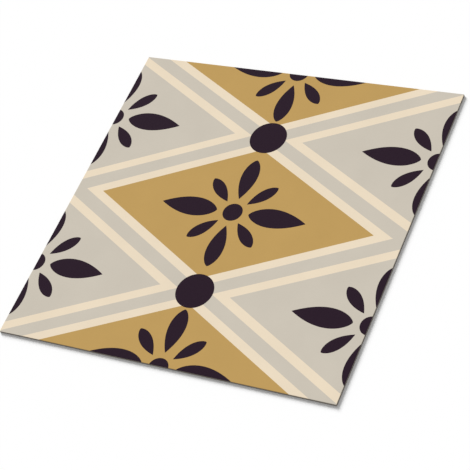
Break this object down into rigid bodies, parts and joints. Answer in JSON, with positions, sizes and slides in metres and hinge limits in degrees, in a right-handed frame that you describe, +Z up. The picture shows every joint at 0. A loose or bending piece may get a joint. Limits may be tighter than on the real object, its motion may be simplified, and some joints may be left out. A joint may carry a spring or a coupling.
{
  "type": "vinyl floor tile",
  "caption": "Thin square resilient floor tile with a printed wear face, an eased rim and straight cut sides that butt against its neighbours.",
  "frame": {"origin": "centre of the back face, the face that is stuck to the floor", "axes": "+Z up out of the printed wear face; +X and +Y square to two of the cut sides"},
  "size_m": [0.3, 0.3, 0.002],
  "materials": {
    "vinyl": "satin"
  },
  "bodies": {
    "root": {"tile": "vinyl"}
  },
  "joints": []
}
